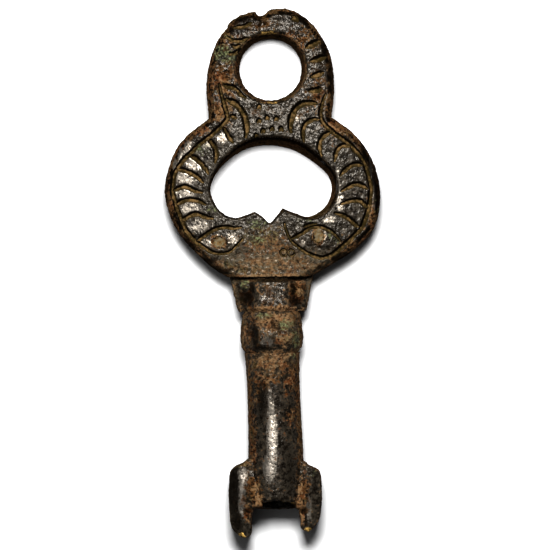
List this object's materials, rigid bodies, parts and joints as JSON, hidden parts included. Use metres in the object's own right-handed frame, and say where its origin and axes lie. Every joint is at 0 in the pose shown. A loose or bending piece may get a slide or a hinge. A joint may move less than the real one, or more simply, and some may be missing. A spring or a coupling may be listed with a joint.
{
  "type": "bronze pipe key",
  "caption": "Ancient-style bronze pipe key: engraved openwork bow with a hanging loop, faceted neck, bead, hollow shank and a forked bit.",
  "frame": {"origin": "under the middle of the key's length and width, on the plane of its flat back", "axes": "+Y along the key towards the hanging loop, +X to the right seen from the front, +Z out of the engraved front face"},
  "size_m": [0.0244, 0.06, 0.0068],
  "materials": {
    "bronze": "dark brown-black patina, glossy on the worn faces, earthy brown in the cuts"
  },
  "bodies": {
    "root": {"suspension_loop": "bronze", "bow_plate": "bronze", "neck_collar": "bronze", "bead_collar": "bronze", "shank_pipe": "bronze", "left_bit": "bronze", "right_bit": "bronze"}
  },
  "joints": []
}
